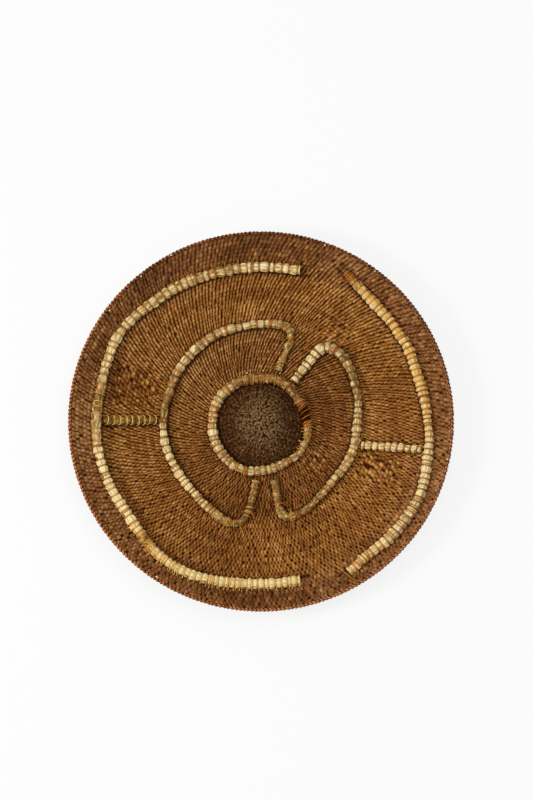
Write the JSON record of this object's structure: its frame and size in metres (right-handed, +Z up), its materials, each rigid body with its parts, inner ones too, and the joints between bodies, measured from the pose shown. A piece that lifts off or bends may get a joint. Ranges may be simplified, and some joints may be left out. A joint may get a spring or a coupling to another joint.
{
  "type": "coiled basket tray",
  "caption": "Shallow round coiled basket tray with a raised middle and overlay ribs of husk-wrapped stems lashed to its upper side.",
  "frame": {"origin": "on the ground plane, under the middle of the tray as it lies with its decorated side up", "axes": "+Z up, square to the tray's resting face; +X to the right and +Y to the top of the decorated side as pictured"},
  "size_m": [0.457, 0.457, 0.0335],
  "materials": {
    "boss_coil": "fine dark stitched coil, matt",
    "inner_coil": "stitched coil, brown, slightly glossy splints",
    "outer_coil": "stitched coil, golden brown, slightly glossy splints",
    "border_coil": "stitched coil, reddish brown",
    "rim_coil": "closely wrapped coil, reddish brown",
    "rib_core": "dry plant stems, matt",
    "husk": "dry husk, straw coloured, satin",
    "brown_husk": "dry husk, browned, satin",
    "lashing": "split cane, orange brown, glossy",
    "yellow_lashing": "split cane, yellow, glossy"
  },
  "bodies": {
    "root": {"centre_boss_coil": "boss_coil", "inner_field_coil": "inner_coil", "outer_field_coil": "outer_coil", "border_coil": "border_coil", "rim_coil": "rim_coil", "centre_ring_core": "rib_core", "centre_ring_husk": "husk", "centre_ring_lashing": "lashing", "outer_left_arc_core": "rib_core", "outer_left_arc_husk": "husk", "outer_left_arc_lashing": "lashing", "outer_right_arc_core": "rib_core", "outer_right_arc_husk": "husk", "outer_right_arc_lashing": "lashing", "inner_left_arc_core": "rib_core", "inner_left_arc_husk": "husk", "inner_left_arc_lashing": "lashing", "inner_right_arc_core": "rib_core", "inner_right_arc_husk": "husk", "inner_right_arc_lashing": "lashing", "left_spoke_core": "rib_core", "left_spoke_husk": "brown_husk", "left_spoke_lashing": "yellow_lashing", "right_spoke_core": "rib_core", "right_spoke_husk": "husk", "right_spoke_lashing": "lashing"}
  },
  "joints": []
}
